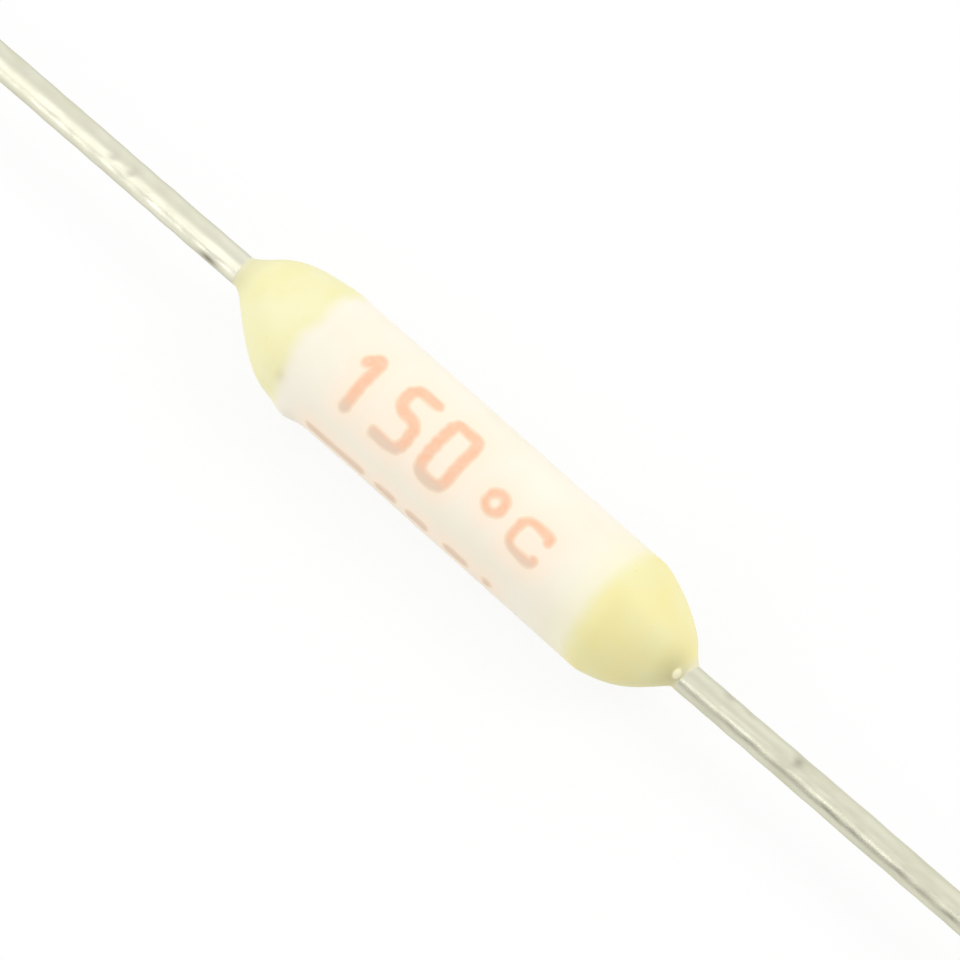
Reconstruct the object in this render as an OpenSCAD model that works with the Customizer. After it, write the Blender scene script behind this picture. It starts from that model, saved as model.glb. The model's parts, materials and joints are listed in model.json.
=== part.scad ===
// Axial thermal fuse: a ceramic tube closed at both ends by domed resin seals, with a wire lead
// cast into each seal. Inside, a low-melting alloy link under a coat of flux joins the leads.
// The tube lies along X, with the middle of its axis at the origin and Z up.

/* [Ceramic tube] */
// Outside diameter of the tube
tube_d = 2.3; // [2.0:0.05:3.0]
// Diameter of the bore
bore_d = 1.6; // [1.4:0.05:1.8]
// Length of the tube
tube_len = 7.3; // [6.6:0.1:10]
// Rounding on the outer edges of the tube's ends
rim_r = 0.08; // [0.02:0.01:0.15]

/* [Leads] */
// Diameter of the wire
lead_d = 0.55; // [0.4:0.01:0.65]
// Free length of a lead outside its seal
lead_len = 27; // [10:1:60]
// Bevel round the cut end of a lead
cut_bevel = 0.05; // [0.01:0.01:0.1]
// Length of the upset collar that anchors a lead in its seal
collar_len = 0.7; // [0.55:0.05:0.9]
// Height of the collar above the wire
collar_height = 0.15; // [0.05:0.01:0.2]
// Depth of the collar below the point where the lead leaves the resin
collar_depth = 0.25; // [0.1:0.05:0.4]

/* [Seals] */
// Length of a dome past the end of the tube
dome_len = 1.48; // [1.1:0.02:2.2]
// Radius of the dome's curve from the tube to the lead
dome_r = 3.0; // [1.8:0.1:8]
// Length of the resin lap over the outside of the tube
lap_len = 0.27; // [0.12:0.01:0.5]
// Height of the lap above the tube where the dome starts
lap_height = 0.03; // [0.02:0.005:0.06]
// Depth of the resin inside the bore
plug_depth = 1.1; // [0.6:0.05:1.4]
// Radius of the meniscus where the resin climbs the lead
meniscus_r = 0.2; // [0.05:0.01:0.3]
// Angle at which the meniscus meets the lead
wetting_angle = 20; // [10:1:40]

/* [Fusible core] */
// Diameter of the alloy link
link_d = 0.7; // [0.6:0.05:0.9]
// Length of the alloy link between the leads
link_len = 3.0; // [2:0.1:3.6]
// Diameter of the flux coat
flux_d = 1.3; // [1.1:0.05:1.38]
// Length of the coat over the tip of each lead
flux_overlap = 0.4; // [0.3:0.05:0.6]
// Rounding at the ends of the coat
flux_end_r = 0.3; // [0.05:0.05:0.35]

/* [Hidden] */
$fn = 96;

LEFT = -1;
RIGHT = 1;
tube_r = tube_d / 2;
bore_r = bore_d / 2;
lead_r = lead_d / 2;
link_r = link_d / 2;
flux_r = flux_d / 2;
tube_half = tube_len / 2;
link_half = link_len / 2;
flux_half = link_half + flux_overlap;

// Every section below is drawn as [distance from the axis, distance from the middle of the tube].

// The dome's curve is the arc of radius dome_r from the lap's crest down to the wire
dome_start = [tube_r + lap_height, tube_half];
dome_tip = [lead_r, tube_half + dome_len];
dome_chord = dome_start - dome_tip;
dome_sag_dir = [dome_chord[1], -dome_chord[0]] / norm(dome_chord);
dome_c = (dome_start + dome_tip) / 2
       + dome_sag_dir * sqrt(dome_r ^ 2 - (norm(dome_chord) / 2) ^ 2);

// The lap is an arc that carries on from the dome without a crease and ends on the tube
dome_start_normal = (dome_start - dome_c) / dome_r;
lap_drop = [lap_height, lap_len];
lap_r = (lap_drop * lap_drop) / (2 * (lap_drop * dome_start_normal));
lap_c = dome_start - lap_r * dome_start_normal;

// The meniscus is a hollow arc that touches the dome and meets the wire at the wetting angle
meniscus_c_r = lead_r + meniscus_r * cos(wetting_angle);
meniscus_c = [meniscus_c_r,
              dome_c[1] + sqrt((dome_r + meniscus_r) ^ 2 - (meniscus_c_r - dome_c[0]) ^ 2)];
meniscus_start = meniscus_c + meniscus_r * (dome_c - meniscus_c) / norm(dome_c - meniscus_c);
lead_exit = meniscus_c[1] - meniscus_r * sin(wetting_angle);

lead_end = lead_exit + lead_len;
collar_mid = lead_exit - collar_depth - collar_len / 2;
collar_arc_r = ((collar_len / 2) ^ 2 + collar_height ^ 2) / (2 * collar_height);

// Turns a section about the X axis, with its outward direction towards one end
module turned(end) {
    rotate([0, 90 * end, 0]) rotate_extrude() children();
}

module tube_section() {
    translate([bore_r, -tube_half]) square([tube_r - rim_r - bore_r, tube_len]);
    translate([bore_r, rim_r - tube_half]) square([tube_r - bore_r, tube_len - 2 * rim_r]);
    for (end = [LEFT, RIGHT])
        translate([tube_r - rim_r, end * (tube_half - rim_r)]) circle(r = rim_r);
}

module collar_section() {
    intersection() {
        translate([lead_r + collar_height - collar_arc_r, collar_mid]) circle(r = collar_arc_r);
        translate([0, collar_mid - collar_len / 2]) square([lead_r + collar_height, collar_len]);
    }
}

module lead_section() {
    polygon([[0, link_half], [lead_r, link_half], [lead_r, lead_end - cut_bevel],
             [lead_r - cut_bevel, lead_end], [0, lead_end]]);
    collar_section();
}

module dome_section() {
    intersection() {
        translate(dome_c) circle(r = dome_r);
        translate([0, tube_half]) square([dome_start[0], dome_len]);
    }
}

module lap_section() {
    intersection() {
        translate(lap_c) circle(r = lap_r);
        translate([0, tube_half - plug_depth]) square([lap_c[0] + lap_r, plug_depth]);
    }
}

module meniscus_section() {
    difference() {
        polygon([[0, tube_half], meniscus_start, [lead_r, lead_exit], [0, lead_exit]]);
        translate(meniscus_c) circle(r = meniscus_r);
    }
}

module seal_section() {
    difference() {
        union() {
            dome_section();
            lap_section();
            meniscus_section();
            translate([0, tube_half - plug_depth]) square([bore_r, plug_depth]);
            translate([0, tube_half - rim_r]) square([tube_r, rim_r]);
        }
        tube_section();
        lead_section();
    }
}

module link_section() {
    translate([0, -link_half]) square([link_r, link_len]);
}

module flux_section() {
    difference() {
        union() {
            translate([0, -flux_half]) square([flux_r - flux_end_r, 2 * flux_half]);
            translate([0, flux_end_r - flux_half]) square([flux_r, 2 * (flux_half - flux_end_r)]);
            for (end = [LEFT, RIGHT])
                translate([flux_r - flux_end_r, end * (flux_half - flux_end_r)])
                    circle(r = flux_end_r);
        }
        link_section();
        translate([0, -flux_half]) square([lead_r, 2 * flux_half]);
    }
}

module seal(end) { color([0.93, 0.89, 0.58]) turned(end) seal_section(); }
module lead(end) { color([0.76, 0.75, 0.71]) turned(end) lead_section(); }

module ceramic_tube() { color([0.96, 0.93, 0.86]) turned(RIGHT) tube_section(); }
module left_seal() { seal(LEFT); }
module right_seal() { seal(RIGHT); }
module left_lead() { lead(LEFT); }
module right_lead() { lead(RIGHT); }
module fusible_link() { color([0.62, 0.63, 0.66]) turned(RIGHT) link_section(); }
module flux_coating() { color([0.80, 0.60, 0.26]) turned(RIGHT) flux_section(); }

ceramic_tube();
left_seal();
right_seal();
left_lead();
right_lead();
fusible_link();
flux_coating();
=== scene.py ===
"""Axial thermal fuse: an ivory ceramic tube, pale yellow resin seals and tinned wire leads.

Each CAD node is replaced by a finer mesh of the same form, with the small faults that the
photograph shows: wavy resin edges, a lump of glaze, dented and nicked wire. The print is thin ink
on the tube. Lengths are in metres, in the frame of the CAD part: X along the tube, Z up.
"""
import json
import math
from collections import namedtuple

import bpy
import numpy as np
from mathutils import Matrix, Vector

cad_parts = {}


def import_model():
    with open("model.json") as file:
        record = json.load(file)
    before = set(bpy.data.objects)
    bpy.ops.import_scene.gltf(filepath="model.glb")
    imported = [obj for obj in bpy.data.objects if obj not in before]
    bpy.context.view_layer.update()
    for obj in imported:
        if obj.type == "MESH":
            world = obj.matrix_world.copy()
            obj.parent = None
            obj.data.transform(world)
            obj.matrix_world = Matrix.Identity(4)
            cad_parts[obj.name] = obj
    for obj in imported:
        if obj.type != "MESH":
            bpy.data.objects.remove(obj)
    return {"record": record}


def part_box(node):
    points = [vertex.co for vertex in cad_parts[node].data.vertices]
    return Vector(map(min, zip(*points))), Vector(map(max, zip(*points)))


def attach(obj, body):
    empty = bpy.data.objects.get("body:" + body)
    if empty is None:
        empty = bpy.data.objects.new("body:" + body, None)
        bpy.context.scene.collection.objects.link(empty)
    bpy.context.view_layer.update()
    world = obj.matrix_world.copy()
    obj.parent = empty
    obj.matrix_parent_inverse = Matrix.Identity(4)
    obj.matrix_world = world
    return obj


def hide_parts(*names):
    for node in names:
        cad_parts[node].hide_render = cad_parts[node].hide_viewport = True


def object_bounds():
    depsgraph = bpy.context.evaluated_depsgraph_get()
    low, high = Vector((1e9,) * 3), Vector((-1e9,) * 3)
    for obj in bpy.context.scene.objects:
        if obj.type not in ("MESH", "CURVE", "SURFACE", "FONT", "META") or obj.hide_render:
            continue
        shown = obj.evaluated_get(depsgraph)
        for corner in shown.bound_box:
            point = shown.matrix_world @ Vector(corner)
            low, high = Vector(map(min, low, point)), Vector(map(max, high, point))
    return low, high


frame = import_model()
cad_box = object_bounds()

MM = 0.001
LEFT = -1
RIGHT = 1
QUARTER_TURN = math.pi / 2
FULL_TURN = 2 * math.pi

# Sizes of the CAD part, from its nodes
TUBE_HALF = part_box("ceramic_tube")[1].x
TUBE_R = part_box("ceramic_tube")[1].y
SEAL_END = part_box("right_seal")[1].x
PLUG_DEPTH = TUBE_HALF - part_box("right_seal")[0].x
LEAD_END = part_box("right_lead")[1].x
COLLAR_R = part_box("right_lead")[1].y
LINK_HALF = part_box("fusible_link")[1].x
LINK_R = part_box("fusible_link")[1].y
FLUX_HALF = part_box("flux_coating")[1].x
FLUX_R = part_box("flux_coating")[1].y
LEAD_R = frame["record"]["mounts"][0]["dims"]["r_mm"] * MM

# Sizes that the nodes' boxes don't show, as in the part's source
BORE_R = 0.80 * MM
CUT_BEVEL = 0.05 * MM
COLLAR_LEN = 0.70 * MM
COLLAR_DEPTH = 0.25 * MM
FLUX_END_R = 0.30 * MM

# Angles round the axis are measured from +Z towards -Y. The print is on top, a little to the front,
# and the small faults are placed in degrees from the middle of the print.
PRINT_SIDE = math.radians(15.54)
FRONT_SIDE = PRINT_SIDE + QUARTER_TURN

# How fine the meshes are: points round the axis, and rings along it
TUBE_SIDES = 192
LEAD_SIDES = 72
CORE_SIDES = 96
RIM_RINGS = 11
WALL_RINGS = 181
BORE_RINGS = 41
LAP_RINGS = 25
DOME_RINGS = 91
WIRE_HOLE_RINGS = 40
PLUG_RINGS = 8
BURIED_RINGS = 48
NEAR_RINGS = 270
FAR_RINGS = 150
CUT_RINGS = 3
CORE_RINGS = 101
SHARP_EDGE = math.radians(50)
INK_SHARP_EDGE = math.radians(80)

# Uneven surfaces: height and length of the waves, how many are added up and how often one repeats
# round the axis at most
Waves = namedtuple("Waves", "height length count rounds")
TUBE_WAVES = Waves(0.003 * MM, 3.0 * MM, 7, 4)
BORE_WAVES = Waves(0.002 * MM, 2.0 * MM, 9, 5)
TIN_WAVES = Waves(0.0030 * MM, 0.52 * MM, 16, 4)
WIRE_WAVES = Waves(0.0022 * MM, 3.0 * MM, 8, 2)
RESIN_WAVES = Waves(0.008 * MM, 2.4 * MM, 9, 4)
LINK_WAVES = Waves(0.004 * MM, 1.2 * MM, 9, 5)
FLUX_WAVES = Waves(0.012 * MM, 1.8 * MM, 9, 5)
INK_WAVES = Waves(1.0, 0.45 * MM, 14, 3)
SLOWEST_WAVE = 0.3

# The rounding at each end of the tube, under the resin
RIM_ROUND = 0.22 * MM

# The lump of glaze at the left end of the tube, at the front
LUMP_AT = -3.06 * MM
LUMP_ANGLE = PRINT_SIDE + math.radians(88)
LUMP_HEIGHT = 0.092 * MM
LUMP_LENGTH = 0.24 * MM
LUMP_SPREAD = math.radians(24)

# A brown smudge at the edge of the left seal
SMUDGE_AT = -3.31 * MM
SMUDGE_ANGLE = PRINT_SIDE + math.radians(42)
SMUDGE_SIZE = 0.10 * MM
SMUDGE_NARROW = 0.7

# Length of the tube that the resin has yellowed beside the right seal
YELLOWED_LEN = 1.3 * MM

# Each lead: how far it is off the axis, to the front, where it leaves the seal, how much it slants
# from there, and the length over which it turns back
LeadShape = namedtuple("LeadShape", "end exit_offset slant reach seed")
LEADS = {
    "left_lead": LeadShape(LEFT, -0.121 * MM, 0.0115, 9.0 * MM, seed=5),
    "right_lead": LeadShape(RIGHT, 0.036 * MM, -0.0158, 9.0 * MM, seed=11),
}
TIN_START = 0.3 * MM
BURIED_END = SEAL_END - 0.2 * MM
NEAR_END = 13.0 * MM

# Marks on the leads: distance from the middle of the tube, degrees from the print, depth, half
# length, half angle in degrees and how dark it is
Mark = namedtuple("Mark", "at degrees depth length spread dark")
MARKS = {
    "left_lead": [
        Mark(5.80 * MM, 56, 0.010 * MM, 0.19 * MM, 15, 0.85),
        Mark(7.77 * MM, -3, 0.014 * MM, 0.08 * MM, 19, 0.32),
        Mark(8.22 * MM, -4, 0.013 * MM, 0.09 * MM, 17, 0.26),
        Mark(9.35 * MM, 20, 0.008 * MM, 0.16 * MM, 26, 0.0),
    ],
    "right_lead": [
        Mark(7.50 * MM, -34, 0.010 * MM, 0.09 * MM, 24, 0.44),
        Mark(5.90 * MM, -62, 0.016 * MM, 0.10 * MM, 26, 0.2),
        Mark(6.35 * MM, -66, 0.014 * MM, 0.12 * MM, 22, 0.1),
        Mark(8.70 * MM, 24, 0.008 * MM, 0.16 * MM, 24, 0.0),
    ],
}

# Each seal: radius where its dome starts, length and radius of the dome's arc, length of its
# shoulder on the tube and the blend of the resin into the wire; how far the dome leans to the front
# and how near the tip it leans most; where the resin ends on the wire; the painted shade that darkens
# the resin in the crease beside the wire, with its strength, middle and half angle in degrees; the drop
# on the wire; and the length over which the resin thins out on the tube
SealShape = namedtuple(
    "SealShape", "end lead start_r dome_len dome_r shoulder fillet lean lean_skew tip "
    "grey grey_middle grey_half drop_height lap_fade seed")
SEALS = {
    "left_seal": SealShape(
        LEFT, "left_lead", start_r=1.120 * MM, dome_len=1.455 * MM, dome_r=2.7 * MM,
        shoulder=0.26 * MM, fillet=0.22 * MM, lean=-0.074 * MM, lean_skew=1.4, tip=1.65 * MM,
        grey=0.5, grey_middle=30, grey_half=150, drop_height=0.0, lap_fade=0.34 * MM, seed=3),
    "right_seal": SealShape(
        RIGHT, "right_lead", start_r=1.137 * MM, dome_len=1.40 * MM, dome_r=2.6 * MM,
        shoulder=0.34 * MM, fillet=0.14 * MM, lean=-0.075 * MM, lean_skew=3.0, tip=1.53 * MM,
        grey=1.0, grey_middle=27, grey_half=50, drop_height=0.06 * MM, lap_fade=0.38 * MM, seed=8),
}
TIP_ROUND = 0.13 * MM
TIP_SINK = 0.008 * MM
# How far back from the resin's tip the painted shade in the crease round each wire reaches
PAINTED_SHADE_REACH = 0.60 * MM
THIN_REACH = 0.22 * MM

# The resin's edge on the tube: degrees from the print and the length of the lap there, in
# millimetres
LAP_EDGES = {
    "left_seal": [(-180, 0.35), (-120, 0.38), (-73, 0.38), (-41, 0.25), (-17, 0.32), (0, 0.24),
                  (12, 0.28), (26, 0.33), (41, 0.39), (60, 0.43), (100, 0.40), (140, 0.34),
                  (180, 0.35)],
    "right_seal": [(-180, 0.31), (-110, 0.29), (-60, 0.31), (0, 0.34), (45, 0.30), (80, 0.24),
                   (130, 0.29), (180, 0.31)],
}
LAP_FILM = 0.004 * MM
LAP_SINK = 0.003 * MM
LAP_RISE = 0.06 * MM

# A drop of resin on the right wire, and the edges of the paler colour painted on it as a highlight
DROP_OUT = 1.375 * MM
DROP_ANGLE = PRINT_SIDE + math.radians(19)
DROP_LENGTH = 0.065 * MM
DROP_SPREAD = math.radians(18)
DROP_HIGHLIGHT_EDGE = (0.22, 0.78)

# The alloy link: its radius away from the welds as a share, and the length of a weld's bead
LINK_WAIST = 0.94
WELD_LEN = 0.25 * MM
FLUX_INSET = 0.02 * MM


# Shape helpers

def ease(value):
    """A smooth step from 0 to 1 as value goes from 0 to 1."""
    held = np.clip(value, 0.0, 1.0)
    return held * held * (3.0 - 2.0 * held)


def bell(distance, width):
    return np.exp(-(distance / width) ** 2)


def turned_by(angle, from_angle):
    """The signed turn between two angles, within half a turn either way."""
    return (angle - from_angle + math.pi) % FULL_TURN - math.pi


def uneven(waves, x, angle, seed):
    """A smooth random surface that closes round the axis."""
    chance = np.random.default_rng(seed)
    total = np.zeros(np.broadcast(x, angle).shape)
    for _ in range(waves.count):
        along = FULL_TURN / waves.length * chance.uniform(SLOWEST_WAVE, 1.0)
        around = chance.integers(0, waves.rounds + 1)
        phase = chance.uniform(0, FULL_TURN)
        total = total + np.sin(along * x + around * angle + phase)
    return waves.height * total / math.sqrt(waves.count)


def smooth_max(first, second, blend):
    share = np.clip(0.5 + 0.5 * (first - second) / blend, 0.0, 1.0)
    return second + (first - second) * share + blend * share * (1.0 - share)


def round_the_axis(sides):
    return np.linspace(0, FULL_TURN, sides, endpoint=False)[None, :]


def rings(start, stop, count):
    """Places of rings from start to stop, as a column; the start belongs to the run before."""
    return np.linspace(start, stop, count)[1:, None]


def on_axis(x, radius, angle, offset=(0.0, 0.0)):
    """Points at a radius and angle round the X axis, or round a line beside it."""
    x, radius, angle = np.broadcast_arrays(x, radius, angle)
    y = offset[0] - radius * np.sin(angle)
    z = offset[1] + radius * np.cos(angle)
    return np.stack([x, y, z], -1)


def to_front(offset):
    """A move to the front, at right angles to the tube, as moves along Y and Z."""
    return -offset * math.sin(FRONT_SIDE), offset * math.cos(FRONT_SIDE)


def ring_faces(rows, sides, closed):
    """Quads between rings, and from the last ring to the first where the section is closed."""
    row = np.arange(rows if closed else rows - 1)[:, None]
    side = np.arange(sides)[None, :]
    after = (row + 1) % rows
    beside = (side + 1) % sides
    corners = [row * sides + side, row * sides + beside, after * sides + beside, after * sides + side]
    return np.stack([np.broadcast_to(c, (row.size, sides)) for c in corners], -1).reshape(-1, 4)


def finish_mesh(name, points, faces, values, sharp):
    """Makes a smooth shaded object from points and faces, with named values on its points."""
    mesh = bpy.data.meshes.new(name)
    mesh.from_pydata(points.reshape(-1, 3).tolist(), [], faces)
    for key, numbers in values.items():
        layer = mesh.attributes.new(key, "FLOAT", "POINT")
        layer.data.foreach_set("value", np.asarray(numbers, np.float32).ravel())
    mesh.validate()
    mesh.polygons.foreach_set("use_smooth", [True] * len(mesh.polygons))
    mesh.set_sharp_from_angle(angle=sharp)
    mesh.update()
    piece = bpy.data.objects.new(name, mesh)
    bpy.context.scene.collection.objects.link(piece)
    return piece


def lathe(name, points, closed, end=RIGHT, values=None):
    """A piece from rings of points. An open run of rings gets a flat cap at each end."""
    rows, sides = points.shape[:2]
    faces = ring_faces(rows, sides, closed).tolist()
    flat = points.reshape(-1, 3)
    values = {key: np.asarray(v, float).ravel() for key, v in (values or {}).items()}
    if not closed:
        first = rows * sides
        last = first + 1
        flat = np.vstack([flat, points[0].mean(0), points[-1].mean(0)])
        values = {key: np.append(v, [v[0], v[-1]]) for key, v in values.items()}
        for side in range(sides):
            beside = (side + 1) % sides
            faces.append([beside, side, first])
            faces.append([(rows - 1) * sides + side, (rows - 1) * sides + beside, last])
    if end == LEFT:
        faces = [face[::-1] for face in faces]
    return finish_mesh(name, flat, faces, values, SHARP_EDGE)


# Ceramic tube

def glaze_lump(x, angle):
    round_it = bell(turned_by(angle, LUMP_ANGLE), LUMP_SPREAD)
    return LUMP_HEIGHT * round_it * bell(x - LUMP_AT, LUMP_LENGTH)


def tube_radius(x, angle):
    """The outside of the tube: slightly out of round, with the lump of glaze."""
    return TUBE_R + uneven(TUBE_WAVES, x, angle, seed=21) + glaze_lump(x, angle)


def rim_drop(x):
    """How far the rounding at each end takes the outside of the tube below its straight wall."""
    into = np.clip(np.abs(x) - (TUBE_HALF - RIM_ROUND), 0.0, RIM_ROUND)
    return RIM_ROUND - np.sqrt(RIM_ROUND ** 2 - into ** 2)


def smudge(x, angle):
    across = TUBE_R * turned_by(angle, SMUDGE_ANGLE)
    return bell(np.hypot(x - SMUDGE_AT, SMUDGE_NARROW * across), SMUDGE_SIZE)


def yellowed(x):
    """How much the resin of the right seal has yellowed the tube."""
    return ease(1 - (TUBE_HALF - x) / YELLOWED_LEN)


def ceramic_tube():
    angle = round_the_axis(TUBE_SIDES)
    in_rim = 1 - np.cos(np.linspace(0, QUARTER_TURN, RIM_RINGS))
    left_x = -TUBE_HALF + RIM_ROUND * in_rim
    right_x = TUBE_HALF - RIM_ROUND * in_rim[::-1]
    wall_x = np.linspace(left_x[-1], right_x[0], WALL_RINGS)[1:-1]
    outer_x = np.concatenate([left_x, wall_x, right_x])[:, None]
    bore_x = np.linspace(TUBE_HALF, -TUBE_HALF, BORE_RINGS)[:, None]
    outer_r = tube_radius(outer_x, angle) - rim_drop(outer_x)
    bore_r = BORE_R + uneven(BORE_WAVES, bore_x, angle, seed=22)
    points = np.concatenate([on_axis(outer_x, outer_r, angle), on_axis(bore_x, bore_r, angle)])
    values = {
        "smudge": np.concatenate([smudge(outer_x, angle), 0 * bore_r]),
        "yellowed": yellowed(np.concatenate([outer_x, bore_x])) + 0 * angle,
        "ink_bloom": np.concatenate([ink_bloom(outer_x, angle), 0 * bore_r]),
    }
    return lathe("ceramic_tube_fine", points, closed=True, values=values)


# Leads

def lead_path(lead, along):
    """How far the wire's middle is off the axis, along Y and Z, at a distance from the tube's middle."""
    in_seal = ease((along - TUBE_HALF) / (SEAL_END - TUBE_HALF))
    free = np.maximum(along - SEAL_END, 0.0)
    slanted = lead.slant * lead.reach * np.sin(free / lead.reach)
    return to_front(lead.exit_offset * in_seal + slanted)


def collar_height(along):
    """The upset ring that anchors the wire in the resin."""
    middle = SEAL_END - COLLAR_DEPTH - COLLAR_LEN / 2
    height = COLLAR_R - LEAD_R
    arc_r = ((COLLAR_LEN / 2) ** 2 + height ** 2) / (2 * height)
    away = np.minimum(np.abs(along - middle), COLLAR_LEN / 2)
    return np.maximum(np.sqrt(arc_r ** 2 - away ** 2) - (arc_r - height), 0.0)


def lead_surface(name, along, angle):
    """Radius of the wire and how stained it is: a wavy coat of tin with dents and nicks."""
    seed = LEADS[name].seed
    coat = uneven(TIN_WAVES, along, angle, seed) + uneven(WIRE_WAVES, along, angle, seed + 1)
    radius = LEAD_R + collar_height(along) + coat * ease((along - SEAL_END) / TIN_START)
    stain = 0.0 * radius
    for mark in MARKS[name]:
        turn = turned_by(angle, PRINT_SIDE + math.radians(mark.degrees))
        shape = bell(along - mark.at, mark.length) * bell(turn, math.radians(mark.spread))
        radius = radius - mark.depth * shape
        stain = stain + mark.dark * shape
    bevel = np.maximum(along - (LEAD_END - CUT_BEVEL), 0.0)
    return radius - bevel, np.clip(stain, 0.0, 1.0)


def wire_lead(name):
    lead = LEADS[name]
    angle = round_the_axis(LEAD_SIDES)
    cut_start = LEAD_END - CUT_BEVEL
    runs = [
        np.linspace(LINK_HALF, BURIED_END, BURIED_RINGS, endpoint=False),
        np.linspace(BURIED_END, NEAR_END, NEAR_RINGS, endpoint=False),
        np.linspace(NEAR_END, cut_start, FAR_RINGS, endpoint=False),
        np.linspace(cut_start, LEAD_END, CUT_RINGS),
    ]
    along = np.concatenate(runs)[:, None]
    radius, stain = lead_surface(name, along, angle)
    points = on_axis(lead.end * along, radius, angle, lead_path(lead, along))
    return lathe(name + "_fine", points, closed=False, end=lead.end, values={"stain": stain})


# Resin seals

def dome_arc(shape):
    """Middle of the dome's arc: its radius from the axis and its distance out from the tube's end."""
    fall = shape.start_r - LEAD_R
    chord = math.hypot(fall, shape.dome_len)
    sag = math.sqrt(shape.dome_r ** 2 - (chord / 2) ** 2)
    middle_r = (shape.start_r + LEAD_R) / 2 - sag * shape.dome_len / chord
    return middle_r, shape.dome_len / 2 - sag * fall / chord


def dome_radius(shape, out):
    middle_r, middle_out = dome_arc(shape)
    return middle_r + np.sqrt(shape.dome_r ** 2 - (out - middle_out) ** 2)


def lap_length(name, angle):
    """Length of the resin's lap over the tube at each angle, smooth between the listed ones."""
    degrees = np.degrees(turned_by(angle, PRINT_SIDE))
    stops = LAP_EDGES[name]
    length = 0.0 * degrees
    for (first, low), (last, high) in zip(stops, stops[1:]):
        inside = (degrees >= first) & (degrees < last)
        between = low + (high - low) * ease((degrees - first) / (last - first))
        length = np.where(inside, between, length)
    return length * MM


def lap_surface(shape, out, lap, angle):
    """The lap: a film of resin on the tube that swells into the dome's start without a crease.
    Its edge is sunk a little into the tube."""
    x = shape.end * (TUBE_HALF + out)
    share = np.clip(1 + out / shape.shoulder, 0.0, 1.0)
    middle_r, middle_out = dome_arc(shape)
    slope = middle_out / (shape.start_r - middle_r)
    swell = (shape.start_r - TUBE_R) * ease(share) + shape.shoulder * slope * share ** 2 * (share - 1)
    wall = tube_radius(x, angle)
    shoulder = TUBE_R + (wall - TUBE_R) * (1 - share ** 2) + swell
    film = (LAP_FILM + LAP_SINK) * ease((out + lap) / LAP_RISE) - LAP_SINK
    return np.maximum(shoulder - LAP_SINK * (film < 0), wall - rim_drop(x) + film)


def resin_drop(out, angle):
    return bell(out - DROP_OUT, DROP_LENGTH) * bell(turned_by(angle, DROP_ANGLE), DROP_SPREAD)


def seal_outside(name, angle):
    """Rings of the lap and the dome: distance out from the tube's end, radius and cover of resin."""
    shape = SEALS[name]
    lap = lap_length(name, angle) + shape.lap_fade / 2
    lap_out = -lap * np.linspace(1, 0, LAP_RINGS)[:, None]
    film = ease((lap_out + lap) / shape.lap_fade)
    lap_r = lap_surface(shape, lap_out, lap, angle)

    dome_out = shape.tip * rings(0, 1, DOME_RINGS) + 0 * angle
    swelling = np.sin(math.pi * np.clip(dome_out / shape.dome_len, 0, 1))
    lumps = uneven(RESIN_WAVES, dome_out, angle, shape.seed + 1) * swelling
    dome = smooth_max(dome_radius(shape, dome_out) + lumps, LEAD_R, shape.fillet)
    sunk = LEAD_R - TIP_SINK
    dome = sunk + (dome - sunk) * ease((shape.tip - dome_out) / TIP_ROUND)
    dome = dome + shape.drop_height * resin_drop(dome_out, angle)
    covered = np.concatenate([film, np.ones(dome.shape)])
    return np.concatenate([lap_out, dome_out]), np.concatenate([lap_r, dome]), covered


def seal_inside(shape, angle):
    """Rings back along the wire, round its collar, over the plug and out under the lap."""
    wire_out = rings(shape.tip, -PLUG_DEPTH, WIRE_HOLE_RINGS)
    wire_r = LEAD_R + collar_height(TUBE_HALF + wire_out)
    plug_r = rings(LEAD_R, BORE_R, PLUG_RINGS)
    bore_out = rings(-PLUG_DEPTH, 0, PLUG_RINGS)
    face_r = rings(BORE_R, TUBE_R - RIM_ROUND, PLUG_RINGS)
    under_out = -RIM_ROUND * rings(0, 1, PLUG_RINGS) ** 2
    under_x = shape.end * (TUBE_HALF + under_out)
    under_r = tube_radius(under_x, angle) - rim_drop(under_x) - LAP_SINK
    out = [wire_out, -PLUG_DEPTH + 0 * plug_r, bore_out, 0 * face_r, under_out]
    radius = [wire_r, plug_r, BORE_R + 0 * bore_out, face_r, under_r]
    return np.concatenate([o + 0 * angle for o in out]), np.concatenate([r + 0 * angle for r in radius])


def resin_seal(name):
    shape = SEALS[name]
    angle = round_the_axis(TUBE_SIDES)
    outer_out, outer_r, covered = seal_outside(name, angle)
    inner_out, inner_r = seal_inside(shape, angle)
    out = np.concatenate([outer_out, inner_out])
    x = shape.end * (TUBE_HALF + out)

    leaned = shape.lean * np.sin(math.pi * np.clip(outer_out / shape.tip, 0, 1) ** shape.lean_skew)
    lean_y, lean_z = to_front(np.concatenate([leaned, 0 * inner_out]))
    wire_y, wire_z = lead_path(LEADS[shape.lead], TUBE_HALF + out)
    offset = (wire_y + lean_y, wire_z + lean_z)
    points = on_axis(x, np.concatenate([outer_r, inner_r]), angle, offset)

    # Painted shade: the resin darkened in the crease round the wire, more on one side than the other
    turn = turned_by(angle, PRINT_SIDE + math.radians(shape.grey_middle))
    from_tip = out - shape.tip
    grey = shape.grey * ease(from_tip / PAINTED_SHADE_REACH + 1) * bell(turn, math.radians(shape.grey_half))
    thin = ease(from_tip / THIN_REACH + 1)
    # The drop is painted paler as a highlight, and the painted shade and the thin resin are kept off it
    low, high = DROP_HIGHLIGHT_EDGE
    drop = ease((resin_drop(out, angle) - low) / (high - low)) * (shape.drop_height > 0)
    values = {
        "film": np.concatenate([covered, np.ones(inner_out.shape)]),
        "grey": np.clip(grey - drop, 0.0, 1.0),
        "thin": np.clip(thin - drop, 0.0, 1.0),
        "drop": drop,
        "smudge": smudge(x, angle),
        "yellowed": yellowed(x),
    }
    return lathe(name + "_fine", points, closed=True, end=shape.end, values=values)


# Fusible core, inside the tube

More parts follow.
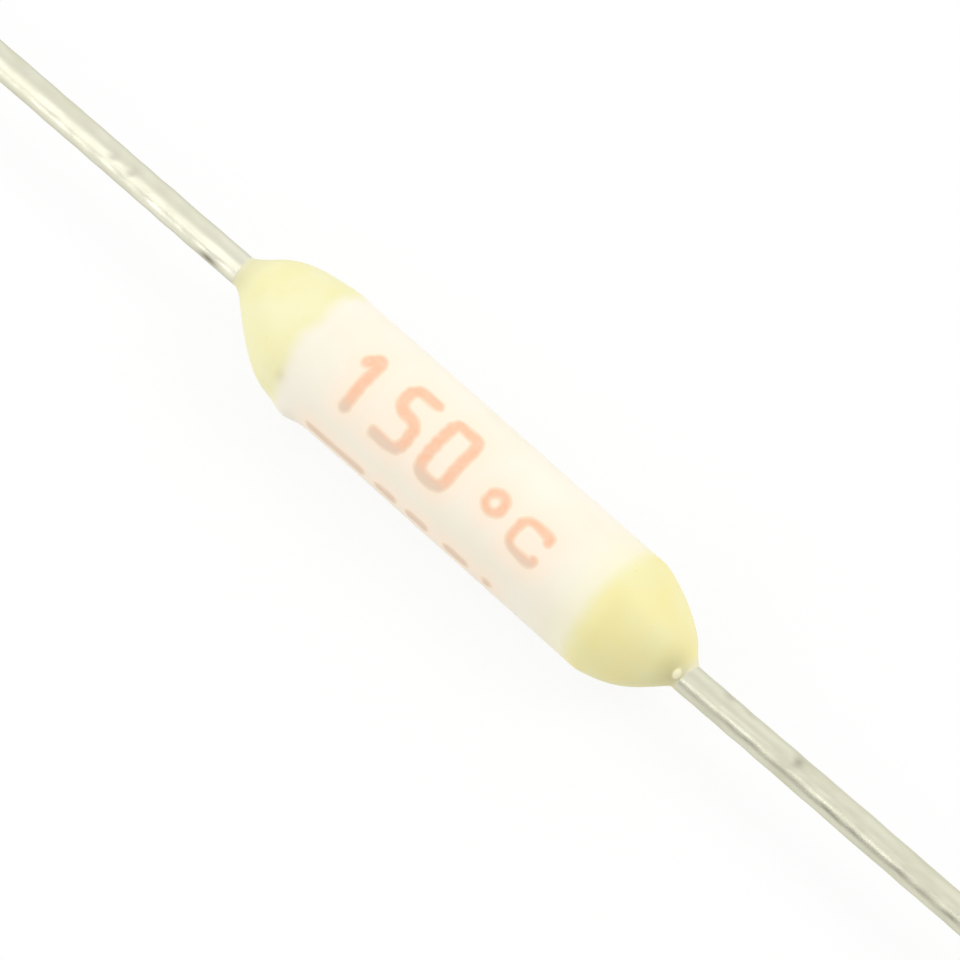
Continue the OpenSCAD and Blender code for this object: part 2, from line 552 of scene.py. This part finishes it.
def link_radius(x, angle):
    """The alloy rod: a little thinner in the middle and lumpy, with a bead at each weld."""
    weld = bell(np.abs(x) - LINK_HALF, WELD_LEN)
    lumps = uneven(LINK_WAVES, x, angle, seed=31) * (1 - weld)
    return LINK_R * (LINK_WAIST + (1 - LINK_WAIST) * weld) + lumps


def fusible_link():
    angle = round_the_axis(CORE_SIDES)
    x = np.linspace(-LINK_HALF, LINK_HALF, CORE_RINGS)[:, None]
    return lathe("fusible_link_fine", on_axis(x, link_radius(x, angle), angle), closed=False)


def flux_coating():
    """The coat of flux over the link and the tips of the leads, with drawn-in ends."""
    angle = round_the_axis(CORE_SIDES)
    x = np.linspace(-FLUX_HALF, FLUX_HALF, CORE_RINGS)[:, None]
    into_end = np.clip(np.abs(x) - (FLUX_HALF - FLUX_END_R), 0.0, FLUX_END_R)
    drop = FLUX_END_R - np.sqrt(FLUX_END_R ** 2 - into_end ** 2)
    outer_r = FLUX_R - drop - FLUX_INSET + uneven(FLUX_WAVES, x, angle, seed=32)
    back = x[::-1]
    inner_r = np.where(np.abs(back) < LINK_HALF, link_radius(back, angle), LEAD_R)
    points = np.concatenate([on_axis(x, outer_r, angle), on_axis(back, inner_r, angle)])
    return lathe("flux_coating_fine", points, closed=True)


# Print: generic numbers and bars in thin ink

# The film of ink: the step of its grid, its thickness, how ragged its edge is and how far the ink
# spread from the strokes
INK_STEP = 0.0125 * MM
INK_HEIGHT = 0.005 * MM
INK_UNEVEN = 0.08
INK_INSIDE = 0.002 * MM
INK_RIM = 0.0015 * MM
INK_SINK = 0.004 * MM
INK_EDGE = 0.075 * MM
INK_RAGGED = 0.009 * MM
INK_ROUGH_ACROSS = 0.09 * MM
INK_EDGE_MOVE = 0.8 * INK_STEP
INK_LEAST_SLOPE = 0.3
INK_POOL_FADE = 0.25 * MM
INK_BLOOM_REACH = 0.29 * MM
CELLS_ROUND_A_SPOT = 4

# Where the large numbers, the small ring and letter and the bars are, along the tube and round it
BIG_START = -2.50 * MM
BIG_WIDTH = 0.80 * MM
BIG_PITCH = 0.97 * MM
BIG_HEIGHT = 1.34 * MM
BIG_STROKE = 0.26 * MM
BIG_ANGLE = PRINT_SIDE - math.radians(4.5)
BIG_POOL = -0.25 * BIG_HEIGHT
SMALL_START = 0.72 * MM
SMALL_WIDTH = 0.78 * MM
SMALL_HEIGHT = 0.78 * MM
SMALL_STROKE = 0.21 * MM
SMALL_RING_R = 0.17 * MM
SMALL_PITCH = 0.72 * MM
SMALL_ANGLE = PRINT_SIDE + math.radians(4.0)
SMALL_POOL = -0.15 * SMALL_HEIGHT
BARS_ANGLE = PRINT_SIDE + math.radians(68)
BARS_STROKE = 0.26 * MM
BARS_POOL = 2 * BARS_STROKE
SHORTEST_BAR = 0.01 * MM

# Start and stop of each bar along the tube, in millimetres
BARS = [(-2.57, -1.19), (-0.98, -0.45), (-0.28, 0.27), (0.58, 1.20), (1.46, 1.62)]

# Strokes in a cell one wide and one high, from its lower left corner
GLYPHS = {
    "1": [(0.20, 0.76), (0.58, 1.0), (0.58, 0.0)],
    "5": [(0.96, 1.0), (0.08, 1.0), (0.08, 0.55), (1.0, 0.55), (1.0, 0.0), (0.0, 0.0)],
    "0": [(0.5, 1.0), (1.0, 1.0), (1.0, 0.0), (0.0, 0.0), (0.0, 1.0), (0.5, 1.0)],
    "C": [(1.0, 0.86), (1.0, 1.0), (0.0, 1.0), (0.0, 0.0), (1.0, 0.0), (1.0, 0.14)],
}
CORNER_SHARE = 0.30
CORNER_STEPS = 7
CIRCLE_STEPS = 28


def rounded(corners, radius):
    """A run of straight strokes with its inner corners rounded."""
    path = [corners[0]]
    for before, corner, after in zip(corners, corners[1:], corners[2:]):
        back = before - corner
        on = after - corner
        start = corner + back * min(radius / np.linalg.norm(back), 0.5)
        stop = corner + on * min(radius / np.linalg.norm(on), 0.5)
        for share in np.linspace(0, 1, CORNER_STEPS):
            path.append((1 - share) ** 2 * start + 2 * share * (1 - share) * corner + share ** 2 * stop)
    path.append(corners[-1])
    return path


def glyph_stroke(glyph, start, width, height, stroke):
    """A glyph's stroke along the tube and up round it, kept inside its width and height."""
    low = np.array([start + stroke / 2, stroke / 2 - height / 2])
    size = np.array([width - stroke, height - stroke])
    return rounded([low + np.array(corner) * size for corner in GLYPHS[glyph]], CORNER_SHARE * width)


def circle_stroke(middle, radius):
    turn = np.linspace(0, FULL_TURN, CIRCLE_STEPS)
    return [np.array([middle[0] + radius * math.cos(a), middle[1] + radius * math.sin(a)]) for a in turn]


def big_strokes():
    strokes = []
    for place, glyph in enumerate("150"):
        start = BIG_START + place * BIG_PITCH
        strokes.append(glyph_stroke(glyph, start, BIG_WIDTH, BIG_HEIGHT, BIG_STROKE))
    return strokes


def small_strokes():
    reach = SMALL_RING_R + SMALL_STROKE / 2
    ring = circle_stroke((SMALL_START + reach, SMALL_HEIGHT / 2 - reach), SMALL_RING_R)
    letter_start = SMALL_START + SMALL_PITCH
    return [ring, glyph_stroke("C", letter_start, SMALL_WIDTH, SMALL_HEIGHT, SMALL_STROKE)]


def bar_strokes():
    strokes = []
    for start, stop in BARS:
        first = start * MM + BARS_STROKE / 2
        last = max(stop * MM - BARS_STROKE / 2, first + SHORTEST_BAR)
        strokes.append([np.array([first, 0.0]), np.array([last, 0.0])])
    return strokes


# Each print: its strokes and their width, the angle of its line and the height where the ink pooled
Print = namedtuple("Print", "name strokes stroke angle pool_below seed")
PRINTS = [
    Print("print_large", big_strokes(), BIG_STROKE, BIG_ANGLE, BIG_POOL, seed=41),
    Print("print_small", small_strokes(), SMALL_STROKE, SMALL_ANGLE, SMALL_POOL, seed=42),
    Print("print_bars", bar_strokes(), BARS_STROKE, BARS_ANGLE, BARS_POOL, seed=43),
]


def stroke_distance(spots, strokes):
    """Distance from each spot to the nearest stroke."""
    nearest = np.full(spots.shape[:-1], np.inf)
    for path in strokes:
        for start, stop in zip(path, path[1:]):
            span = stop - start
            share = np.clip((spots - start) @ span / max(span @ span, np.finfo(float).tiny), 0.0, 1.0)
            gap = np.linalg.norm(spots - start - share[..., None] * span, axis=-1)
            nearest = np.minimum(nearest, gap)
    return nearest


def ink_bloom(x, angle):
    """How much thin ink has spread over the tube round the strokes."""
    bloom = np.zeros(np.broadcast(x, angle).shape)
    for lines in PRINTS:
        spots = np.stack(np.broadcast_arrays(x, TUBE_R * turned_by(lines.angle, angle)), -1)
        gap = stroke_distance(spots, lines.strokes) - lines.stroke / 2
        bloom = np.maximum(bloom, bell(np.maximum(gap, 0.0), INK_BLOOM_REACH))
    return bloom


def ink_grid(lines):
    """Spots in a grid over the strokes, along the tube and up round it, how deep each is inside the
    ink's ragged edge, and the roughness of the ink there."""
    every = np.array([spot for path in lines.strokes for spot in path])
    low = every.min(0) - lines.stroke
    high = every.max(0) + lines.stroke
    along = np.arange(low[0], high[0], INK_STEP)
    up = np.arange(low[1], high[1], INK_STEP)
    spots = np.stack(np.meshgrid(along, up, indexing="ij"), -1)
    rough = uneven(INK_WAVES, spots[..., 0], spots[..., 1] / INK_ROUGH_ACROSS, lines.seed)
    depth = lines.stroke / 2 - stroke_distance(spots, lines.strokes) + INK_RAGGED * rough
    return spots, depth, rough


def film_faces(kept, number, below):
    """Faces of a closed film over the kept cells of a grid: top, bottom and the walls between."""
    faces = []
    for i, j in np.argwhere(kept):
        quad = [int(number[i, j]), int(number[i + 1, j]), int(number[i + 1, j + 1]), int(number[i, j + 1])]
        faces.append(quad)
        faces.append([corner + below for corner in quad[::-1]])
        neighbours = [(i, j - 1), (i + 1, j), (i, j + 1), (i - 1, j)]
        for (beside_i, beside_j), start, stop in zip(neighbours, quad, quad[1:] + quad[:1]):
            inside = 0 <= beside_i < kept.shape[0] and 0 <= beside_j < kept.shape[1]
            if not (inside and kept[beside_i, beside_j]):
                faces.append([stop, start, start + below, stop + below])
    return faces


def ink_print(lines):
    """A closed film of ink on the tube, darker where it pooled, below a height on the line."""
    spots, depth, rough = ink_grid(lines)
    kept = (depth[:-1, :-1] + depth[1:, :-1] + depth[:-1, 1:] + depth[1:, 1:]) > 0
    around = np.zeros(depth.shape, int)
    for step_x in (0, 1):
        for step_up in (0, 1):
            around[step_x:step_x + kept.shape[0], step_up:step_up + kept.shape[1]] += kept
    used = around > 0
    edge = used & (around < CELLS_ROUND_A_SPOT)

    slope = np.stack(np.gradient(depth, INK_STEP), -1)
    steep = np.maximum(np.linalg.norm(slope, axis=-1, keepdims=True), INK_LEAST_SLOPE)
    move = np.clip(-depth, -INK_EDGE_MOVE, INK_EDGE_MOVE)[..., None] * slope / steep
    spots = np.where(edge[..., None], spots + move, spots)

    cover = ease(depth / INK_EDGE)
    body = INK_INSIDE + INK_HEIGHT * cover * (1 - 2 * INK_UNEVEN + INK_UNEVEN * rough)
    height = np.where(edge, INK_RIM, body)
    turn = lines.angle - spots[..., 1] / TUBE_R
    wall = tube_radius(spots[..., 0], turn)
    top = on_axis(spots[..., 0], wall + height, turn)
    bottom = on_axis(spots[..., 0], wall - INK_SINK, turn)
    below = int(used.sum())
    number = np.full(depth.shape, -1)
    number[used] = np.arange(below)
    points = np.concatenate([top[used], bottom[used]])
    pool = ease((lines.pool_below - spots[..., 1]) / INK_POOL_FADE)
    values = {"cover": np.tile(cover[used], 2), "pool": np.tile(pool[used], 2)}
    return finish_mesh(lines.name, points, film_faces(kept, number, below), values, INK_SHARP_EDGE)


# Material helpers

BUMP_STRENGTH = 0.5
GRAIN_DETAIL = 3.0
GRAIN_ROUGHNESS = 0.55
EVEN = (1.0, 1.0, 1.0)

# A Mix node's two colours and its result, whose names its other types share
MIX_COLOURS = (6, 7)
MIX_RESULT = 2

# Soft patches: their size, the noise where they begin and are full, the detail of their edges and
# how they are stretched along the axes
Patches = namedtuple("Patches", "size low high detail stretch", defaults=(GRAIN_DETAIL, EVEN))

# A fine finish: size of its grain, height of the bumps, and the least and most roughness
Finish = namedtuple("Finish", "grain height smooth rough")
FINE_LOW = 0.3
FINE_HIGH = 0.7


def add(tree, kind, **settings):
    """A node with its properties and inputs set by name."""
    node = tree.nodes.new(kind)
    for key, value in settings.items():
        if hasattr(node, key):
            setattr(node, key, value)
        else:
            node.inputs[key.replace("_", " ")].default_value = value
    return node


def join(tree, output, target):
    tree.links.new(output, target)


def new_material(name):
    material = bpy.data.materials.new(name)
    material.use_nodes = True
    tree = material.node_tree
    return material, tree, tree.nodes["Principled BSDF"]


def grain(tree, size, detail=GRAIN_DETAIL, stretch=EVEN):
    """Noise of a grain size in metres, stretched along the axes."""
    coordinates = add(tree, "ShaderNodeTexCoord")
    mapping = add(tree, "ShaderNodeMapping", Scale=[1.0 / share for share in stretch])
    noise = add(tree, "ShaderNodeTexNoise", Scale=1.0 / size, Detail=detail, Roughness=GRAIN_ROUGHNESS)
    join(tree, coordinates.outputs["Object"], mapping.inputs["Vector"])
    join(tree, mapping.outputs["Vector"], noise.inputs["Vector"])
    return noise.outputs["Fac"]


def spread(tree, value, low, high, to_low=0.0, to_high=1.0):
    """Value from low to high, spread to another range and held inside it."""
    node = add(tree, "ShaderNodeMapRange", clamp=True, From_Min=low, From_Max=high)
    node.inputs["To Min"].default_value = to_low
    node.inputs["To Max"].default_value = to_high
    join(tree, value, node.inputs["Value"])
    return node.outputs["Result"]


def patches(tree, kind):
    """The share of a soft patch at each point."""
    return spread(tree, grain(tree, kind.size, kind.detail, kind.stretch), kind.low, kind.high)


def mixed(tree, share, first, second):
    """A colour between two: each is a written colour or another node's output."""
    node = add(tree, "ShaderNodeMix", data_type="RGBA")
    join(tree, share, node.inputs["Factor"])
    for place, colour in zip(MIX_COLOURS, (first, second)):
        socket = node.inputs[place]
        if isinstance(colour, tuple):
            socket.default_value = (*colour, 1.0)
        else:
            join(tree, colour, socket)
    return node.outputs[MIX_RESULT]


def point_value(tree, name, most=1.0):
    """A value that the mesh carries on its points, scaled to the most that it may be."""
    value = add(tree, "ShaderNodeAttribute", attribute_name=name).outputs["Fac"]
    return spread(tree, value, 0.0, 1.0, to_high=most) if most < 1.0 else value


def roughness(tree, shader, value, smooth, rough):
    join(tree, spread(tree, value, 0.0, 1.0, smooth, rough), shader.inputs["Roughness"])


def bump(tree, shader, height, distance):
    node = add(tree, "ShaderNodeBump", Strength=BUMP_STRENGTH, Distance=distance)
    join(tree, height, node.inputs["Height"])
    join(tree, node.outputs["Normal"], shader.inputs["Normal"])


def fine_finish(tree, shader, kind):
    """A fine grain that varies the gloss and roughens the surface."""
    fine = grain(tree, kind.grain)
    roughness(tree, shader, spread(tree, fine, FINE_LOW, FINE_HIGH), kind.smooth, kind.rough)
    bump(tree, shader, fine, kind.height)


# Materials

CERAMIC = (0.90, 0.855, 0.73)
CERAMIC_WARM = (0.88, 0.82, 0.68)
CERAMIC_SPECK = (0.66, 0.58, 0.45)
CERAMIC_YELLOWED = (0.88, 0.84, 0.60)
RESIN_PALE = (0.85, 0.815, 0.505)
RESIN = (0.84, 0.795, 0.425)
RESIN_DEEP = (0.86, 0.775, 0.36)
# Resin darkened as painted shade in the crease round each wire
RESIN_PAINTED_SHADE = (0.56, 0.525, 0.285)
RESIN_BUBBLE = (0.76, 0.70, 0.36)
RESIN_THIN = (0.75, 0.72, 0.55)
# Paler resin painted on the drop as a highlight
RESIN_PAINTED_HIGHLIGHT = (0.94, 0.90, 0.62)
# Tin of the two leads, one wire painted as two copies: the left lead paler, a lit copy, and the right lead
# darker, a shaded copy, for how the light falls on each
TIN_LIT_COPY = (0.82, 0.81, 0.67)
TIN_LIT_COPY_DULL = (0.76, 0.75, 0.60)
TIN_SHADED_COPY = (0.72, 0.71, 0.57)
TIN_SHADED_COPY_GREY = (0.66, 0.65, 0.51)
TIN_STAIN = (0.22, 0.20, 0.16)
TIN_LIT_COPY_EDGE = (0.62, 0.61, 0.55)
TIN_SHADED_COPY_EDGE = (0.86, 0.85, 0.78)
INK = (0.90, 0.53, 0.34)
INK_THIN = (0.90, 0.63, 0.46)
INK_THINNEST = (0.91, 0.73, 0.55)
INK_POOL = (0.78, 0.60, 0.46)
INK_BLOOM = (0.98, 0.80, 0.63)
SMUDGE = (0.50, 0.38, 0.17)
ALLOY = (0.50, 0.51, 0.54)
ALLOY_DULL = (0.36, 0.37, 0.39)
FLUX = (0.62, 0.36, 0.08)
FLUX_DARK = (0.45, 0.22, 0.03)
FLOOR = (0.90, 0.90, 0.90)

CERAMIC_CLOUD = Patches(1.1 * MM, low=0.35, high=0.70)
CERAMIC_SPECKS = Patches(0.05 * MM, low=0.79, high=0.85, detail=1.0)
CERAMIC_FINISH = Finish(0.03 * MM, 0.002 * MM, smooth=0.42, rough=0.58)
RESIN_CLOUD = Patches(0.7 * MM, low=0.35, high=0.68)
RESIN_BUBBLES = Patches(0.07 * MM, low=0.74, high=0.80, detail=1.0)
RESIN_FINISH = Finish(0.06 * MM, 0.003 * MM, smooth=0.42, rough=0.56)
TIN_BLOTCHES = Patches(0.35 * MM, low=0.40, high=0.68, stretch=(2.5, 1.0, 1.0))
TIN_DRAWN_GRAIN = 0.02 * MM
TIN_DRAWN_STRETCH = (40.0, 1.0, 1.0)
TIN_DRAWN_HEIGHT = 0.0007 * MM
INK_PATCHES = Patches(0.12 * MM, low=0.35, high=0.68)
INK_FINISH = Finish(0.02 * MM, 0.001 * MM, smooth=0.50, rough=0.66)
ALLOY_FROST = Patches(0.10 * MM, low=0.38, high=0.65)
ALLOY_FROST_HEIGHT = 0.004 * MM
FLUX_CLOUD = Patches(0.40 * MM, low=0.38, high=0.65)
FLUX_FINISH = Finish(0.05 * MM, 0.003 * MM, smooth=0.12, rough=0.26)

# The most that each of these covers what is under it
SMUDGE_MOST = 0.20
BLOOM_MOST = 0.62
THIN_MOST = 0.85
THIN_INK_MOST = 0.5


def ceramic_colour(tree):
    """The tube's own colour, which also shows through the thin edge of the resin."""
    body = mixed(tree, patches(tree, CERAMIC_CLOUD), CERAMIC, CERAMIC_WARM)
    body = mixed(tree, patches(tree, CERAMIC_SPECKS), body, CERAMIC_SPECK)
    return mixed(tree, point_value(tree, "yellowed"), body, CERAMIC_YELLOWED)


def ceramic_material():
    material, tree, shader = new_material("ivory_ceramic")
    body = mixed(tree, point_value(tree, "ink_bloom", BLOOM_MOST), ceramic_colour(tree), INK_BLOOM)
    body = mixed(tree, point_value(tree, "smudge", SMUDGE_MOST), body, SMUDGE)
    join(tree, body, shader.inputs["Base Color"])
    fine_finish(tree, shader, CERAMIC_FINISH)
    return material


def resin_material(name, deep, pale):
    material, tree, shader = new_material(name)
    body = mixed(tree, patches(tree, RESIN_CLOUD), deep, pale)
    body = mixed(tree, patches(tree, RESIN_BUBBLES), body, RESIN_BUBBLE)
    # Painted shade in the crease round the wire
    body = mixed(tree, point_value(tree, "grey"), body, RESIN_PAINTED_SHADE)
    body = mixed(tree, point_value(tree, "thin", THIN_MOST), body, RESIN_THIN)
    # Painted highlight on the drop of resin
    body = mixed(tree, point_value(tree, "drop"), body, RESIN_PAINTED_HIGHLIGHT)
    body = mixed(tree, point_value(tree, "film"), ceramic_colour(tree), body)
    body = mixed(tree, point_value(tree, "smudge", SMUDGE_MOST), body, SMUDGE)
    join(tree, body, shader.inputs["Base Color"])
    fine_finish(tree, shader, RESIN_FINISH)
    return material


def tinned_wire_material(name, bright, dull, edge, smooth, rough):
    material, tree, shader = new_material(name)
    blotch = patches(tree, TIN_BLOTCHES)
    coat = mixed(tree, blotch, bright, dull)
    join(tree, mixed(tree, point_value(tree, "stain"), coat, TIN_STAIN), shader.inputs["Base Color"])
    shader.inputs["Metallic"].default_value = 1.0
    shader.inputs["Specular Tint"].default_value = (*edge, 1.0)
    roughness(tree, shader, blotch, smooth, rough)
    drawn = grain(tree, TIN_DRAWN_GRAIN, stretch=TIN_DRAWN_STRETCH)
    bump(tree, shader, drawn, TIN_DRAWN_HEIGHT)
    return material


def ink_material():
    material, tree, shader = new_material("orange_ink")
    patchy = patches(tree, INK_PATCHES)
    body = mixed(tree, spread(tree, patchy, 0.0, 1.0, to_high=THIN_INK_MOST), INK, INK_THIN)
    body = mixed(tree, point_value(tree, "pool"), body, INK_POOL)
    body = mixed(tree, point_value(tree, "cover"), INK_THINNEST, body)
    join(tree, body, shader.inputs["Base Color"])
    fine_finish(tree, shader, INK_FINISH)
    return material


def alloy_material():
    material, tree, shader = new_material("fusible_alloy")
    frost = patches(tree, ALLOY_FROST)
    join(tree, mixed(tree, frost, ALLOY, ALLOY_DULL), shader.inputs["Base Color"])
    shader.inputs["Metallic"].default_value = 1.0
    roughness(tree, shader, frost, smooth=0.34, rough=0.52)
    bump(tree, shader, frost, ALLOY_FROST_HEIGHT)
    return material


def flux_material():
    material, tree, shader = new_material("amber_flux")
    body = mixed(tree, patches(tree, FLUX_CLOUD), FLUX, FLUX_DARK)
    join(tree, body, shader.inputs["Base Color"])
    fine_finish(tree, shader, FLUX_FINISH)
    return material


# Stage

FLOOR_SIZE = 6.0
FLOOR_WHITE = 0.87
WORLD_LEVEL = 0.84

# Darker sides of the room: towards which way, how far round it they start and are full, as
# cosines, and how much darker they are
DarkSide = namedtuple("DarkSide", "towards start full depth")
DARK_SIDES = [
    DarkSide((-0.15, -0.985, -0.01), start=0.85, full=0.955, depth=0.78),
    DarkSide((0.70, -0.68, 0.20), start=0.60, full=0.95, depth=0.47),
]

# Lamps: where each stands and what it faces, in millimetres, its size there and its power in watts
Lamp = namedtuple("Lamp", "name place faces size power")
LAMPS = [
    Lamp("key_light", (150, 165, 258), (0, 0, 0), (120, 150), 0.29),
    Lamp("left_fill", (-225, -135, 144), (0, 0, 0), (150, 150), 0.096),
    Lamp("left_panel", (-64, -104, 17), (-8, 0, 0), (60, 34), 0.019),
    Lamp("left_streak", (-27, -19, 43), (-8, 0, 0), (18, 70), 0.00265),
    Lamp("right_streak", (-11, -70, 69), (8, 0, 0), (30, 14), 0.0039),
    Lamp("right_back", (-12, 85, 38), (10, 0, 0), (40, 90), 0.0036),
]

# The camera: the tube runs from the picture's upper left to its lower right, and its right end is
# nearer
CAMERA_AZIMUTH = math.radians(43.57)
CAMERA_ELEVATION = math.radians(69.0)
CAMERA_LENS = 300
SENSOR = 36
CLIP_NEAR_SHARE = 0.1
CLIP_FAR = 100.0
PHOTO_PIXELS = 960
PIXELS_PER_MM = 60.0
BODY_PIXEL = (463.7, 476.9)


def floor_material():
    """A pale floor that the camera, metal and glass see as nearly white, with a faint shadow."""
    material, tree, shader = new_material("white_floor")
    shader.inputs["Base Color"].default_value = (*FLOOR, 1.0)
    shader.inputs["Roughness"].default_value = 1.0
    shader.inputs["Specular IOR Level"].default_value = 0.0
    path = add(tree, "ShaderNodeLightPath")
    seen = add(tree, "ShaderNodeMath", operation="ADD")
    join(tree, path.outputs["Is Camera Ray"], seen.inputs[0])
    join(tree, path.outputs["Is Glossy Ray"], seen.inputs[1])
    any_seen = add(tree, "ShaderNodeMath", operation="ADD", use_clamp=True)
    join(tree, seen.outputs[0], any_seen.inputs[0])
    join(tree, path.outputs["Is Transmission Ray"], any_seen.inputs[1])
    white = add(tree, "ShaderNodeEmission", Strength=1.0)
    blend = add(tree, "ShaderNodeMixShader")
    join(tree, spread(tree, any_seen.outputs[0], 0.0, 1.0, to_high=FLOOR_WHITE), blend.inputs[0])
    join(tree, shader.outputs["BSDF"], blend.inputs[1])
    join(tree, white.outputs["Emission"], blend.inputs[2])
    join(tree, blend.outputs["Shader"], tree.nodes["Material Output"].inputs["Surface"])
    return material


def floor():
    low = cad_box[0].z
    half = FLOOR_SIZE / 2
    corners = [(-half, -half, low), (half, -half, low), (half, half, low), (-half, half, low)]
    mesh = bpy.data.meshes.new("floor")
    mesh.from_pydata(corners, [], [(0, 1, 2, 3)])
    mesh.materials.append(floor_material())
    piece = bpy.data.objects.new("floor", mesh)
    bpy.context.scene.collection.objects.link(piece)


def world():
    """A pale room with darker sides, low down, that the wires reflect."""
    sky = bpy.data.worlds.new("studio")
    sky.use_nodes = True
    tree = sky.node_tree
    background = tree.nodes["Background"]
    background.inputs["Color"].default_value = (1.0, 1.0, 1.0, 1.0)
    coordinates = add(tree, "ShaderNodeTexCoord")
    level = None
    for side in DARK_SIDES:
        facing = add(tree, "ShaderNodeVectorMath", operation="DOT_PRODUCT")
        facing.inputs[1].default_value = Vector(side.towards).normalized()
        join(tree, coordinates.outputs["Generated"], facing.inputs[0])
        darker = spread(tree, facing.outputs["Value"], side.start, side.full, to_high=side.depth)
        less = add(tree, "ShaderNodeMath", operation="SUBTRACT")
        less.inputs[0].default_value = WORLD_LEVEL
        if level:
            join(tree, level, less.inputs[0])
        join(tree, darker, less.inputs[1])
        level = less.outputs[0]
    join(tree, level, background.inputs["Strength"])
    bpy.context.scene.world = sky


def add_lamp(lamp):
    light = bpy.data.lights.new(lamp.name, "AREA")
    light.energy = lamp.power
    light.shape = "RECTANGLE"
    light.size = lamp.size[0] * MM
    light.size_y = lamp.size[1] * MM
    holder = bpy.data.objects.new(lamp.name, light)
    holder.location = Vector(lamp.place) * MM
    holder.rotation_mode = "QUATERNION"
    holder.rotation_quaternion = (Vector(lamp.place) - Vector(lamp.faces)).to_track_quat("Z", "Y")
    holder.visible_camera = False
    bpy.context.scene.collection.objects.link(holder)


def camera():
    level = math.cos(CAMERA_ELEVATION)
    back = Vector((
        math.sin(CAMERA_AZIMUTH) * level,
        -math.cos(CAMERA_AZIMUTH) * level,
        math.sin(CAMERA_ELEVATION),
    ))
    aim = (-back).to_track_quat("-Z", "Y")
    pixel = MM / PIXELS_PER_MM
    across = (PHOTO_PIXELS / 2 - BODY_PIXEL[0]) * pixel
    down = (PHOTO_PIXELS / 2 - BODY_PIXEL[1]) * pixel
    target = aim @ Vector((across, -down, 0.0))
    distance = PHOTO_PIXELS * pixel * CAMERA_LENS / SENSOR
    data = bpy.data.cameras.new("camera")
    data.lens = CAMERA_LENS
    data.sensor_width = SENSOR
    data.clip_start = distance * CLIP_NEAR_SHARE
    data.clip_end = CLIP_FAR
    holder = bpy.data.objects.new("camera", data)
    holder.location = target + back * distance
    holder.rotation_mode = "QUATERNION"
    holder.rotation_quaternion = aim
    bpy.context.scene.collection.objects.link(holder)
    bpy.context.scene.camera = holder


def dress(piece, material, node=None):
    """Gives a piece its material and its place on the body, and hides the node it stands for."""
    piece.data.materials.append(material)
    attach(piece, "root")
    if node:
        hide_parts(node)


left_resin = resin_material("pale_yellow_resin", RESIN, RESIN_PALE)
right_resin = resin_material("yellow_resin", RESIN_DEEP, RESIN)
# The two leads share one tinned wire, painted lighter on the left and darker on the right as lit and shaded
# copies
lit_copy_tin = tinned_wire_material("lit_copy_tinned_wire", TIN_LIT_COPY, TIN_LIT_COPY_DULL, TIN_LIT_COPY_EDGE, smooth=0.34, rough=0.46)
shaded_copy_tin = tinned_wire_material("tinned_wire", TIN_SHADED_COPY, TIN_SHADED_COPY_GREY, TIN_SHADED_COPY_EDGE, smooth=0.36, rough=0.48)
ink = ink_material()
dress(ceramic_tube(), ceramic_material(), "ceramic_tube")
dress(resin_seal("left_seal"), left_resin, "left_seal")
dress(resin_seal("right_seal"), right_resin, "right_seal")
dress(wire_lead("left_lead"), lit_copy_tin, "left_lead")
dress(wire_lead("right_lead"), shaded_copy_tin, "right_lead")
dress(fusible_link(), alloy_material(), "fusible_link")
dress(flux_coating(), flux_material(), "flux_coating")
for each_print in PRINTS:
    dress(ink_print(each_print), ink)

floor()
world()
for each_lamp in LAMPS:
    add_lamp(each_lamp)
camera()
bpy.context.scene.view_settings.view_transform = "Standard"
